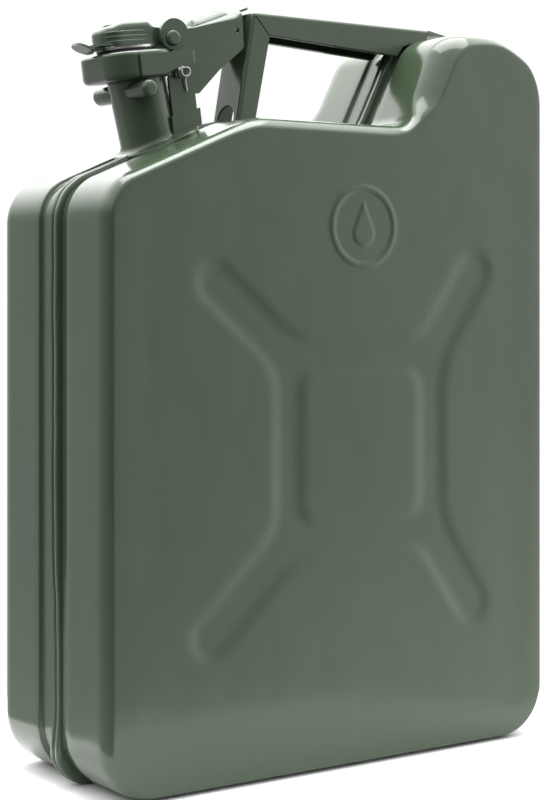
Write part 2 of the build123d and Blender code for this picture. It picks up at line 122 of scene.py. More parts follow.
def node_tree(name):
    """New material with its node tree cleared down to one Principled shader."""
    material = bpy.data.materials.new(name)
    material.use_nodes = True
    nodes = material.node_tree.nodes
    links = material.node_tree.links
    nodes.clear()
    output = nodes.new("ShaderNodeOutputMaterial")
    shader = nodes.new("ShaderNodeBsdfPrincipled")
    links.new(shader.outputs["BSDF"], output.inputs["Surface"])
    return material, nodes, links, shader


def noise_node(nodes, links, coordinates, scale, detail=2.0, rough=0.5):
    """Noise texture on object coordinates, with its scale in cycles per metre."""
    texture = nodes.new("ShaderNodeTexNoise")
    texture.inputs["Scale"].default_value = scale
    texture.inputs["Detail"].default_value = detail
    texture.inputs["Roughness"].default_value = rough
    links.new(coordinates, texture.inputs["Vector"])
    return texture.outputs["Fac"]


def ramp(nodes, links, value, stops):
    """Colour ramp with (position, colour) stops."""
    node = nodes.new("ShaderNodeValToRGB")
    elements = node.color_ramp.elements
    elements[0].position, elements[0].color = stops[0][0], (*stops[0][1], 1.0)
    elements[1].position, elements[1].color = stops[-1][0], (*stops[-1][1], 1.0)
    for position, colour in stops[1:-1]:
        element = elements.new(position)
        element.color = (*colour, 1.0)
    links.new(value, node.inputs["Fac"])
    return node.outputs["Color"]


def mix_colours(nodes, links, share, first, second):
    """Colour mix of two sockets."""
    node = nodes.new("ShaderNodeMix")
    node.data_type = "RGBA"
    factor, a, b = node.inputs[0], node.inputs[6], node.inputs[7]
    links.new(share, factor)
    for value, socket in ((first, a), (second, b)):
        if isinstance(value, tuple):
            socket.default_value = (*value, 1.0)
        else:
            links.new(value, socket)
    return node.outputs[2]


def bump(nodes, links, height, distance, strength, below=None):
    """Bump node, stacked on another one if given."""
    node = nodes.new("ShaderNodeBump")
    node.inputs["Distance"].default_value = distance
    node.inputs["Strength"].default_value = strength
    links.new(height, node.inputs["Height"])
    if below is not None:
        links.new(below, node.inputs["Normal"])
    return node.outputs["Normal"]


def enamel(name, dark, mid, light, rough_low, rough_high):
    """Dark olive gloss enamel: slight tone drift, uneven gloss, soft sags and orange peel."""
    material, nodes, links, shader = node_tree(name)
    place = nodes.new("ShaderNodeTexCoord").outputs["Object"]
    drift = noise_node(nodes, links, place, 7.0, 3.0, 0.5)
    tone = ramp(nodes, links, drift, [(0.3, dark), (0.5, mid), (0.72, light)])
    links.new(tone, shader.inputs["Base Color"])
    smear = noise_node(nodes, links, place, 46.0, 4.0, 0.6)
    rough = nodes.new("ShaderNodeMapRange")
    rough.inputs["To Min"].default_value = rough_low
    rough.inputs["To Max"].default_value = rough_high
    links.new(smear, rough.inputs["Value"])
    links.new(rough.outputs["Result"], shader.inputs["Roughness"])
    peel = noise_node(nodes, links, place, 420.0, 1.5, 0.4)
    sag = noise_node(nodes, links, place, 38.0, 1.0, 0.4)
    normal = bump(nodes, links, sag, 0.0009, 0.35)
    normal = bump(nodes, links, peel, 0.00006, 0.5, normal)
    links.new(normal, shader.inputs["Normal"])
    shader.inputs["IOR"].default_value = 1.5
    return material


def steel(name, colour, rough_low, rough_high):
    """Zinc-plated steel with fine grain and dull patches."""
    material, nodes, links, shader = node_tree(name)
    place = nodes.new("ShaderNodeTexCoord").outputs["Object"]
    patches = noise_node(nodes, links, place, 180.0, 4.0, 0.65)
    darker = tuple(0.7 * c for c in colour)
    tone = ramp(nodes, links, patches, [(0.3, darker), (0.7, colour)])
    links.new(tone, shader.inputs["Base Color"])
    shader.inputs["Metallic"].default_value = 1.0
    rough = nodes.new("ShaderNodeMapRange")
    rough.inputs["To Min"].default_value = rough_low
    rough.inputs["To Max"].default_value = rough_high
    links.new(patches, rough.inputs["Value"])
    links.new(rough.outputs["Result"], shader.inputs["Roughness"])
    grain = noise_node(nodes, links, place, 1500.0, 2.0, 0.5)
    links.new(bump(nodes, links, grain, 0.00003, 0.5), shader.inputs["Normal"])
    return material


def rubber(name):
    """Matt black rubber with a faint bloom."""
    material, nodes, links, shader = node_tree(name)
    place = nodes.new("ShaderNodeTexCoord").outputs["Object"]
    bloom = noise_node(nodes, links, place, 240.0, 4.0, 0.6)
    tone = ramp(nodes, links, bloom, [(0.35, (0.012, 0.012, 0.012)), (0.75, (0.035, 0.034, 0.032))])
    links.new(tone, shader.inputs["Base Color"])
    shader.inputs["Roughness"].default_value = 0.7
    grain = noise_node(nodes, links, place, 1100.0, 2.0, 0.5)
    links.new(bump(nodes, links, grain, 0.00008, 0.5), shader.inputs["Normal"])
    return material


def floor_paint():
    """Plain pale floor with a very faint mottle."""
    material, nodes, links, shader = node_tree("pale_floor")
    place = nodes.new("ShaderNodeTexCoord").outputs["Object"]
    mottle = noise_node(nodes, links, place, 3.0, 2.0, 0.5)
    tone = ramp(nodes, links, mottle, [(0.3, (0.86, 0.86, 0.86)), (0.7, (0.88, 0.88, 0.88))])
    links.new(tone, shader.inputs["Base Color"])
    shader.inputs["Roughness"].default_value = 0.9
    shader.inputs["Specular IOR Level"].default_value = 0.2
    return material


paint = enamel("olive_enamel", *OLIVE_TONES, *OLIVE_ROUGHNESS)
zinc = steel("plated_steel", (0.62, 0.62, 0.60), 0.28, 0.5)
black = rubber("black_rubber")


# --- mesh helpers ---

def make_piece(name, points, faces, material, body, nodes_replaced):
    """Mesh object from millimetre points, riding on a CAD body."""
    mesh = bpy.data.meshes.new(name)
    mesh.from_pydata([tuple(c * MM for c in p) for p in points], [], faces)
    mesh.validate()
    mesh.update()
    mesh.shade_smooth()
    piece = bpy.data.objects.new(name, mesh)
    bpy.context.scene.collection.objects.link(piece)
    mesh.materials.append(material)
    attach(piece, body)
    if nodes_replaced:
        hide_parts(*nodes_replaced)
    return piece


def bevel(piece, width, segments=2, angle=35.0):
    """Rounded edges from a bevel modifier."""
    modifier = piece.modifiers.new("bevel", "BEVEL")
    modifier.width = width * MM
    modifier.segments = segments
    modifier.limit_method = "ANGLE"
    modifier.angle_limit = math.radians(angle)
    return modifier


def weigh_normals(piece):
    """Keep flat faces flat next to their rounded edges."""
    modifier = piece.modifiers.new("weighted", "WEIGHTED_NORMAL")
    modifier.mode = "FACE_AREA"
    modifier.weight = 80
    modifier.keep_sharp = False


def smooth_step(low, high, value):
    """0 below low, 1 above high, smooth between."""
    t = np.clip((value - low) / (high - low), 0.0, 1.0)
    return t * t * t * (t * (6.0 * t - 15.0) + 10.0)


# --- outlines ---

def corner_arcs(corners):
    """Centre, radius, first angle and turn of the arc at each corner."""
    arcs = []
    for i, (x, z, radius) in enumerate(corners):
        here = Vector((x, z))
        before = Vector(corners[i - 1][:2])
        after = Vector(corners[(i + 1) % len(corners)][:2])
        way_in = (here - before).normalized()
        way_out = (after - here).normalized()
        turn = math.atan2(way_in.x * way_out.y - way_in.y * way_out.x, way_in.dot(way_out))
        start = here - way_in * radius * math.tan(abs(turn) / 2)
        side = Vector((-way_in.y, way_in.x)) * math.copysign(1.0, turn)
        centre = start + side * radius
        first = math.atan2(start.y - centre.y, start.x - centre.x)
        arcs.append((centre, radius, first, turn))
    return arcs


def outline(corners, counts):
    """Points and outward normals round a side view; counts gives the samples of each arc and run."""
    arcs = corner_arcs(corners)
    points = []
    normals = []
    for i, (centre, radius, first, turn) in enumerate(arcs):
        arc_count, run_count = counts[i]
        outward = math.copysign(1.0, turn)
        for k in range(arc_count + 1):
            angle = first + turn * k / arc_count
            ray = Vector((math.cos(angle), math.sin(angle)))
            points.append(centre + ray * radius)
            normals.append(ray * outward)
        centre_b, radius_b, first_b, turn_b = arcs[(i + 1) % len(arcs)]
        start = points[-1]
        end = centre_b + Vector((math.cos(first_b), math.sin(first_b))) * radius_b
        for k in range(1, run_count):
            points.append(start.lerp(end, k / run_count))
            normals.append(normals[-1])
    return np.array([tuple(p) for p in points]), np.array([tuple(n) for n in normals])


def sample_counts(corners, step):
    """How many samples each arc and each straight run gets."""
    arcs = corner_arcs(corners)
    counts = []
    for i, (centre, radius, first, turn) in enumerate(arcs):
        centre_b, radius_b, first_b, turn_b = arcs[(i + 1) % len(arcs)]
        last = centre + Vector((math.cos(first + turn), math.sin(first + turn))) * radius
        start = centre_b + Vector((math.cos(first_b), math.sin(first_b))) * radius_b
        arc_count = max(6, math.ceil(abs(turn) * radius / step), math.ceil(abs(turn) / math.radians(5)))
        run_count = max(2, math.ceil((start - last).length / step))
        counts.append((arc_count, run_count))
    return counts


# --- tank ---

def edge_roll(points):
    """Depth, inset, power and crease radius of the roll at each point of the outline."""
    x = points[:, 0]
    z = points[:, 1]
    slope = smooth_step(332.0, 352.0, z) * (1.0 - smooth_step(66.0, 104.0, x)) * (x > 30.0)
    in_gap = smooth_step(-75.0, -40.0, x) * (1.0 - smooth_step(30.0, 50.0, x)) * (z > 320.0)
    top = np.maximum(smooth_step(366.0, 382.0, z), in_gap) * (1.0 - slope)
    mixed = []
    for side, up, hill in zip(SIDE_ROLL, TOP_ROLL, SLOPE_ROLL):
        mixed.append(side + (up - side) * top + (hill - side) * slope)
    return mixed


def roll_rows(points, normals):
    """Rows of points from the flat of the side over the roll to the edge of the big face."""
    depth, inset, power, crease = edge_roll(points)
    tilt = np.arctan(power * inset / depth)
    last_y = HALF_DEPTH - crease * (1.0 - np.sin(tilt))
    first_y = last_y - depth
    rows = []
    for k in range(11):
        share = k / 10
        rows.append((points - normals * (inset * share ** power)[:, None], first_y + depth * share))
    for k in range(1, 8):
        angle = tilt + (math.pi / 2 - tilt) * k / 7
        reach = inset + crease * (np.cos(tilt) - np.cos(angle))
        rows.append((points - normals * reach[:, None], last_y + crease * (np.sin(angle) - np.sin(tilt))))
    return rows


def channel_profile():
    """Inset and distance from the seam for the channel's cross-section."""
    rows = [(CHANNEL_DEPTH, 0.0), (CHANNEL_DEPTH, 3.5), (CHANNEL_DEPTH, 8.0)]
    root = CHANNEL_ROOT_R
    lip = CHANNEL_LIP_R
    lean = math.radians(70.0)
    wall_y = CHANNEL_HALF - 0.35
    centre = (CHANNEL_DEPTH - root, wall_y - root * math.sin(lean))
    for k in range(5):
        a = lean * k / 4
        rows.append((centre[0] + root * math.cos(a), centre[1] + root * math.sin(a)))
    end = rows[-1]
    rise = lip * (1.0 - math.cos(lean))
    run = (end[0] - rise) / math.tan(lean) if end[0] > rise else 0.0
    start_y = end[1] + run
    centre_y = start_y + lip * math.sin(lean)
    for k in range(6):
        a = lean * (1.0 - k / 5)
        rows.append((lip - lip * math.cos(a), centre_y - lip * math.sin(a)))
    return rows


def box_distance(x, z, middle, size, radius):
    """Signed distance to a rounded rectangle."""
    qx = np.abs(x - middle[0]) - size[0] / 2 + radius
    qz = np.abs(z - middle[1]) - size[1] / 2 + radius
    outside = np.hypot(np.maximum(qx, 0.0), np.maximum(qz, 0.0))
    return outside + np.minimum(np.maximum(qx, qz), 0.0) - radius


def arm_distance(x, z, end):
    """Signed distance to one diagonal arm."""
    root_x = FRAME_MID[0] + math.copysign(FRAME_SIZE[0] / 2 - 10.0, end[0] - FRAME_MID[0])
    root_z = FRAME_MID[1] + math.copysign(FRAME_SIZE[1] / 2 - 10.0, end[1] - FRAME_MID[1])
    dx = end[0] - root_x
    dz = end[1] - root_z
    along = np.clip(((x - root_x) * dx + (z - root_z) * dz) / (dx * dx + dz * dz), 0.0, 1.0)
    return np.hypot(x - root_x - along * dx, z - root_z - along * dz) - ARM_R


def soft_min(a, b, blend):
    """Smallest of two distances, with a rounded join."""
    h = np.clip(0.5 + 0.5 * (b - a) / blend, 0.0, 1.0)
    return b + (a - b) * h - blend * h * (1.0 - h)


def pressed_depth(x, z):
    """How far the pressed pattern is sunk."""
    pattern = box_distance(x, z, FRAME_MID, FRAME_SIZE, FRAME_R)
    for end in ARM_ENDS:
        pattern = soft_min(pattern, arm_distance(x, z, end), 9.0)
    plate = box_distance(x, z, FRAME_MID, PLATE_SIZE, FRAME_R)
    half = STEP_WIDTH / 2
    return PANEL_DEPTH * (1.0 - smooth_step(-half, half, pattern)) * smooth_step(-half, half, plate)


def emblem_rise(x, z):
    """Height of the raised ring and drop."""
    dx = x - EMBLEM_MID[0]
    dz = z - EMBLEM_MID[1]
    ring = np.abs(np.hypot(dx, dz) - EMBLEM_R + EMBLEM_LINE / 2) - EMBLEM_LINE / 2
    bulb = np.hypot(dx, dz + DROP_LOW) - DROP_R
    slant_x = DROP_TIP + DROP_LOW
    tangent = math.asin(DROP_R / slant_x)
    side = (np.abs(dx) * math.cos(tangent) + (dz - DROP_TIP) * math.sin(tangent))
    tip = np.maximum(side, -dz - DROP_LOW + DROP_R * math.sin(tangent))
    drop = np.minimum(bulb, tip)
    shape = np.minimum(ring, drop)
    return EMBLEM_RISE * (1.0 - smooth_step(-1.0, 1.2, shape))


def unevenness(x, z):
    """Slight waviness of the pressed sheet."""
    values = [noise.noise(Vector((a / 75.0, b / 75.0, 3.7))) for a, b in zip(x, z)]
    return 0.18 * np.array(values)


def inside(x, z, loop):
    """Which points lie inside a closed loop."""
    hit = np.zeros(len(x), bool)
    for (ax, az), (bx, bz) in zip(loop, np.roll(loop, -1, axis=0)):
        if az == bz:
            continue
        crosses = (az > z) != (bz > z)
        hit ^= crosses & (x < (bx - ax) * (z - az) / (bz - az) + ax)
    return hit


def face_points(loop):
    """Grid points for the big face, finer round the emblem."""
    coarse = 2.6
    fine = 0.75
    xs, zs = np.meshgrid(np.arange(-136.0, 137.0, coarse), np.arange(3.0, 380.0, coarse))
    x = xs.ravel()
    z = zs.ravel()
    reach = EMBLEM_R + 1.6
    keep = np.hypot(x - EMBLEM_MID[0], z - EMBLEM_MID[1]) > reach + 0.8
    x = x[keep]
    z = z[keep]
    span = np.arange(-reach - 1.0, reach + 1.0, fine)
    fx, fz = np.meshgrid(span + EMBLEM_MID[0], span + EMBLEM_MID[1])
    near = np.hypot(fx - EMBLEM_MID[0], fz - EMBLEM_MID[1]) <= reach
    x = np.concatenate([x, fx[near]])
    z = np.concatenate([z, fz[near]])
    keep = inside(x, z, loop)
    return x[keep], z[keep]


def in_neck(x, y, z):
    """Whether a point is inside the neck's bore."""
    neck_top = MOUTH + Vector((math.cos(LEAN), 0, math.sin(LEAN))) * -2.0
    neck_top -= Vector((-math.sin(LEAN), 0, math.cos(LEAN))) * 14.0
    offset = Vector((x, y, z)) - neck_top
    across = offset.x * math.cos(NECK_LEAN) + offset.z * math.sin(NECK_LEAN)
    return abs(across) < 12.3 and abs(y) < 13.3


def tank_half(name, side, node, emblem):
    """One pressed half of the tank; side is -1 in front and 1 behind."""
    counts = sample_counts(TANK_CORNERS, 3.6)
    points, normals = outline(TANK_CORNERS, counts)
    rows = []
    for inset, y in channel_profile():
        rows.append((points - normals * inset, np.full(len(points), y)))
    lip_y = rows[-1][1][0]
    roll = roll_rows(points, normals)
    for k in range(1, 6):
        rows.append((points, lip_y + (roll[0][1] - lip_y) * k / 6))
    rows += roll
    count = len(points)
    verts = []
    for place, y in rows:
        verts += [(p[0], side * d, p[1]) for p, d in zip(place, y)]
    faces = []
    for r in range(len(rows) - 1):
        for i in range(count):
            j = (i + 1) % count
            quad = (r * count + i, r * count + j, (r + 1) * count + j, (r + 1) * count + i)
            if any(in_neck(*verts[v]) for v in quad):
                continue
            faces.append(quad if side < 0 else quad[::-1])
    edge_loop = rows[-1][0]
    inner = edge_loop - normals * 1.5
    gx, gz = face_points(inner)
    flat = [Vector((p[0], p[1])) for p in edge_loop] + [Vector((a, b)) for a, b in zip(gx, gz)]
    ring = [(i, (i + 1) % count) for i in range(count)]
    out = geometry.delaunay_2d_cdt(flat, ring, [], 1, 1e-5)
    flat_verts, triangles, origins = out[0], out[2], out[3]
    x = np.array([v.x for v in flat_verts])
    z = np.array([v.y for v in flat_verts])
    from_edge = np.full(len(x), 1e9)
    for px, pz in edge_loop[::2]:
        from_edge = np.minimum(from_edge, np.hypot(x - px, z - pz))
    fade = smooth_step(1.0, 24.0, from_edge)
    depth = pressed_depth(x, z) + (0.2 + unevenness(x, z)) * fade
    if emblem:
        depth = depth - emblem_rise(x, z)
    start = (len(rows) - 1) * count
    index = []
    for i, origin in enumerate(origins):
        on_edge = [o for o in origin if o < count]
        if on_edge:
            index.append(start + on_edge[0])
        else:
            index.append(len(verts))
            verts.append((x[i], side * (HALF_DEPTH - depth[i]), z[i]))
    for tri in triangles:
        corner = [index[v] for v in tri]
        faces.append(corner if side < 0 else corner[::-1])
    piece = make_piece(name, verts, faces, paint, "can", [node])
    shell = piece.modifiers.new("sheet", "SOLIDIFY")
    shell.thickness = SHEET * MM
    shell.offset = -1.0
    return piece


tank_half("tank_front", -1, "front_shell", True)
tank_half("tank_back", 1, "back_shell", False)


def ridge_height(points):
    """Share of the ridge's full height at each place: lower near the feet, lumpy all round."""
    x = points[:, 0]
    z = points[:, 1]
    side = 0.45 + 0.55 * smooth_step(40.0, 150.0, z)
    corner = np.exp(-(((np.abs(x) - 135.0) / 14.0) ** 2 + ((z - 5.0) / 16.0) ** 2))
    height = np.clip(side + 0.8 * corner, 0.0, 1.0)
    lumps = []
    for a, b in points:
        fine = noise.noise(Vector((a / 9.0, b / 9.0, 1.3)))
        broad = noise.noise(Vector((a / 30.0, b / 30.0, 8.3)))
        lumps.append(fine + 0.5 * broad)
    return height * (0.92 + 0.1 * np.array(lumps))


# half section of the two welded flanges: place across and share of the height, with the joint between them
RIDGE_SECTION = [
    (-1.04, 0.0), (-1.0, 0.35), (-0.96, 0.75), (-0.86, 0.95), (-0.66, 1.0), (-0.34, 0.98), (-0.16, 0.88),
    (-0.07, 0.62), (0.02, 0.5), (0.11, 0.62), (0.20, 0.86), (0.36, 0.96), (0.66, 0.97), (0.84, 0.92),
    (0.95, 0.72), (1.0, 0.35), (1.04, 0.0)]


def seam_ridge():
    """Welded seam: two standing flanges with an uneven joint line."""
    counts = sample_counts(TANK_CORNERS, 1.6)
    floor, floor_normals = outline(TANK_CORNERS, counts)
    crest, crest_normals = outline(RIDGE_CORNERS, counts)
    floor = floor - floor_normals * (CHANNEL_DEPTH + 0.3)
    share = ridge_height(crest)
    wobble = np.array([0.35 * noise.noise(Vector((a / 22.0, b / 22.0, 5.1))) for a, b in crest])
    verts = []
    for y, lift in RIDGE_SECTION:
        place = floor + (crest - floor) * (lift * share)[:, None]
        for p, w in zip(place, wobble):
            verts.append((p[0], RIDGE_MID + y * RIDGE_HALF + w * lift, max(p[1], 0.0)))
    count = len(crest)
    faces = []
    for r in range(len(RIDGE_SECTION) - 1):
        for i in range(count):
            j = (i + 1) % count
            quad = (r * count + i, r * count + j, (r + 1) * count + j, (r + 1) * count + i)
            if any(in_neck(*verts[v]) for v in quad):
                continue
            faces.append(quad[::-1])
    return make_piece("seam_weld", verts, faces, paint, "can", ["seam_bead"])


seam_ridge()


# --- neck ---

SHOULDER_SLOPE = math.atan2(FLOOR_Z - 294.5, HALF_WIDTH - 51.5)
NECK_HALF = (14.0, 15.0)
NECK_CORNER = 13.0
SKIRT_R = 3.6             # flare where the neck meets the shoulder
SKIRT_PAD = 6.5           # how much further it reaches under the bracket
SKIRT_RIM = 0.9
NECK_WALL = 1.5


def closure_point(x, y, z):
    """World place of a point given in the mouth's leaning frame."""
    return Vector((MOUTH.x + x * math.cos(LEAN) - z * math.sin(LEAN), y,
                   MOUTH.z + x * math.sin(LEAN) + z * math.cos(LEAN)))


def rounded_section(half_x, half_y, radius, count):
    """Points and normals of a rounded rectangle, evenly spaced by angle round its corners."""
    rows = []
    for corner, (sx, sy) in enumerate([(1, 1), (-1, 1), (-1, -1), (1, -1)]):
        for k in range(count):
            angle = math.pi / 2 * (corner + k / (count - 1))
            ray = (math.cos(angle), math.sin(angle))
            place = (sx * (half_x - radius) + radius * ray[0], sy * (half_y - radius) + radius * ray[1])
            rows.append((place, ray))
    return rows


def neck_and_skirt():
    """Leaning neck that flares out on to the shoulder."""
    along = Vector((-math.sin(NECK_LEAN), 0, math.cos(NECK_LEAN)))
    across = Vector((math.cos(NECK_LEAN), 0, math.sin(NECK_LEAN)))
    top = closure_point(-2.0, 0, -14.0)
    slope = Vector((math.cos(SHOULDER_SLOPE), 0, math.sin(SHOULDER_SLOPE)))
    up = Vector((-math.sin(SHOULDER_SLOPE), 0, math.cos(SHOULDER_SLOPE)))
    brow = Vector((-HALF_WIDTH, 0, 294.5))
    section = rounded_section(*NECK_HALF, NECK_CORNER, 14)
    rows = []
    for (x, y), ray in section:
        start = top + across * x + Vector((0, y, 0)) + along * 4.0
        outward = (across * ray[0] + Vector((0, ray[1], 0))).normalized()
        flat_out = (outward - up * outward.dot(up)).normalized()
        fall = (start - brow).dot(up)
        foot = start - along * (fall / along.dot(up))
        pad = float(smooth_step(-0.2, 0.6, np.float64(ray[0])))
        reach = SKIRT_R + SKIRT_PAD * pad
        rim_height = SKIRT_RIM + 1.2 * pad
        wall_end = foot + along * (SKIRT_R * 1.15 + rim_height)
        column = [start - (start - wall_end) * k / 8 for k in range(9)]
        for k in range(1, 9):
            angle = math.pi / 2 * k / 8
            spread = (reach - SKIRT_R) * max(0.0, k / 8 - 0.5) * 2.0
            column.append(foot + along * (SKIRT_R * 1.15 * (1.0 - math.sin(angle)) + rim_height)
                          + flat_out * (SKIRT_R * (1.0 - math.cos(angle)) + spread))
        rim = column[-1]
        column.append(rim + flat_out * 0.7 - up * 0.25)
        column.append(rim + flat_out * 0.95 - up * 0.8)
        column.append(rim + flat_out * 0.95 - up * (rim_height + CHANNEL_DEPTH + 0.3))
        rows.append(column)
    count = len(rows)
    size = len(rows[0])
    verts = [tuple(p) for column in rows for p in column]
    faces = []
    for i in range(count):
        j = (i + 1) % count
        for k in range(size - 1):
            faces.append((i * size + k, i * size + k + 1, j * size + k + 1, j * size + k))
    piece = make_piece("neck_skirt", verts, faces, paint, "can", ["neck_flange", "neck_tube"])
    wall = piece.modifiers.new("wall", "SOLIDIFY")
    wall.thickness = NECK_WALL * MM
    wall.offset = -1.0
    return piece


neck_and_skirt()


# --- folded sheet pieces ---

def folded_sheet(name, panels, folds, thickness, body, nodes_replaced, fold_width, rim=0.25, inward=-1.0):
    """Sheet-metal piece: flat panels joined along shared edges, with rounded folds and rims.

    Each panel is a list of world points. Each fold is a pair of points with its share of the fold width.
    """
    index = {}
    verts = []

    def number(point):
        key = tuple(round(c, 3) for c in point)
        if key not in index:
            index[key] = len(verts)
            verts.append(tuple(point))
        return index[key]

    faces = [[number(p) for p in panel] for panel in panels]
    piece = make_piece(name, verts, faces, paint, body, nodes_replaced)
    mesh = piece.data
    weights = mesh.attributes.new("bevel_weight_edge", "FLOAT", "EDGE")
    wanted = {frozenset((number(a), number(b))): share for a, b, share in folds}
    for edge in mesh.edges:
        share = wanted.get(frozenset(edge.vertices))
        if share:
            weights.data[edge.index].value = share
    fold = piece.modifiers.new("fold", "BEVEL")
    fold.width = fold_width * MM
    fold.segments = 6
    fold.limit_method = "WEIGHT"
    fold.offset_type = "OFFSET"
    solid = piece.modifiers.new("sheet", "SOLIDIFY")
    solid.thickness = thickness * MM
    solid.offset = inward
    solid.use_even_offset = True
    edges = piece.modifiers.new("rim", "BEVEL")
    edges.width = rim * MM
    edges.segments = 2
    edges.limit_method = "ANGLE"
    edges.angle_limit = math.radians(60.0)
    weigh_normals(piece)
    return piece


# --- handle ---

HANDLE_HALF = 12.0
HANDLE_T = 1.2
HANDLE_TOP = 390.0
LEG_FOOT = (-38.0, 329.4)
LEG_HEAD_X = -27.5
LEG_WIDE = 11.0
BAR_LOW_LEFT = 12.0
BAR_LIP = 3.0
ARCH_HALF = 8.0
ARCH_STRAIGHT = 4.5
MITRE_GAP = 0.5


def handle():
    """Carrying handle folded from one strip, with a mitred corner and a rolled lower edge."""
    foot = Vector((LEG_FOOT[0], 0, LEG_FOOT[1]))
    head = Vector((LEG_HEAD_X, 0, HANDLE_TOP))
    rise = (head - foot).normalized()
    panels = []
    folds = []
    # leg web with its arch at the foot
    web = [foot + Vector((0, -HANDLE_HALF, 0)), foot + Vector((0, -ARCH_HALF, 0))]
    for k in range(13):
        angle = math.pi * k / 12
        web.append(foot + rise * (ARCH_STRAIGHT + ARCH_HALF * math.sin(angle))
                   + Vector((0, -ARCH_HALF * math.cos(angle), 0)))
    web += [foot + Vector((0, ARCH_HALF, 0)), foot + Vector((0, HANDLE_HALF, 0)),
            head + Vector((0, HANDLE_HALF, 0)), head + Vector((0, -HANDLE_HALF, 0))]
    panels.append(web[::-1])
    end_x = 90.0
    inner_head = Vector((LEG_HEAD_X + LEG_WIDE, 0, HANDLE_TOP - BAR_LOW_LEFT))
    for side in (-1, 1):
        y = side * HANDLE_HALF
        at = Vector((0, y, 0))
        lip = Vector((0, y - side * BAR_LIP, 0))
        along = (inner_head - head).normalized()
        shift = Vector((MITRE_GAP, 0, MITRE_GAP * 0.4))
        near = head + along * 3.0
        leg = [foot + at, foot + Vector((LEG_WIDE, y, 0)), inner_head - shift + at,
               near - shift + at, head + at]
        bar = [head + at, near + shift * 0.2 + at, inner_head + shift * 0.2 + at, Vector((68.6, y, 373.4)),
               Vector((72.4, y, 379.4)), Vector((78.0, y, 381.4)), Vector((end_x, y, 381.6)),
               Vector((end_x, y, HANDLE_TOP))]
        low_a, low_b = inner_head + shift * 0.2, Vector((68.6, 0, 373.4))
        under = [low_a + at, low_a + lip + Vector((0, 0, 0.4)), low_b + lip + Vector((0, 0, 0.4)), low_b + at]
        turn = 1 if side < 0 else -1
        panels += [leg[::turn], bar[::turn], under[::turn]]
        folds += [(foot + at, head + at, 1.0), (head + at, Vector((end_x, y, HANDLE_TOP)), 1.0),
                  (low_a + at, low_b + at, 0.55)]
    top = [head + Vector((0, -HANDLE_HALF, 0)), Vector((end_x, -HANDLE_HALF, HANDLE_TOP)),
           Vector((end_x, HANDLE_HALF, HANDLE_TOP)), head + Vector((0, HANDLE_HALF, 0))]
    panels.append(top)
    folds.append((top[0], top[3], 1.0))
    # tapered end, folded down on to the seam
    tip = [(90.0, 12.0, 390.0), (111.0, 6.6, 388.2), (116.6, 5.1, 385.2)]
    for (xa, ya, za), (xb, yb, zb) in zip(tip, tip[1:]):
        panels.append([Vector((xa, -ya, za)), Vector((xb, -yb, zb)),
                       Vector((xb, yb, zb)), Vector((xa, ya, za))])
    folds.append((Vector((111.0, -6.6, 388.2)), Vector((111.0, 6.6, 388.2)), 0.5))
    return folded_sheet("carrying_handle", panels, folds, HANDLE_T, "can",
                        ["handle_channel", "handle_end_tab"], 2.3)


handle()


# --- cap carrier ---

CARRIER_HALF = 10.6
CARRIER_T = 1.2
CARRIER_LOW = 3.4
CARRIER_END_X = 9.0
NOSE_MID_X = -12.6         # middle of the rounded nose
NOSE_REACH = 9.4
NOSE_SQUARE = 0.72         # below one the nose is squarer than an ellipse
SHOULDER_R = 3.4           # rounding of the carrier's top edge
PIVOT = (13.0, 5.0)
EYE_R = 4.5
SLOT_MID_X = -9.6
SLOT_HALF = (7.4, 7.8)
SHADE_SHEET_DROP = 2.2           # how deep the black sheet of painted shade lies under the opening


def carrier_top(x):
    """Height of the carrier's top: flat over the cap, falling towards the nose and the hinge."""
    nose = float(smooth_step(0.0, 14.0, np.float64(-8.5 - x)))
    tail = float(smooth_step(1.0, 9.0, np.float64(x)))
    return 15.6 - 2.6 * nose - 4.0 * tail


def carrier_surface(x, y):
    """Height of the carrier's outer skin at a place on it."""
    nose_x = min(x - NOSE_MID_X, 0.0) * CARRIER_HALF / NOSE_REACH
    power = 2.0 / NOSE_SQUARE
    edge = (abs(nose_x) ** power + abs(y) ** power) ** (1.0 / power)
    inward = min(max(CARRIER_HALF - edge, 0.0), SHOULDER_R)
    drop = SHOULDER_R - math.sqrt(max(SHOULDER_R ** 2 - (SHOULDER_R - inward) ** 2, 0.0))
    return carrier_top(x) - drop


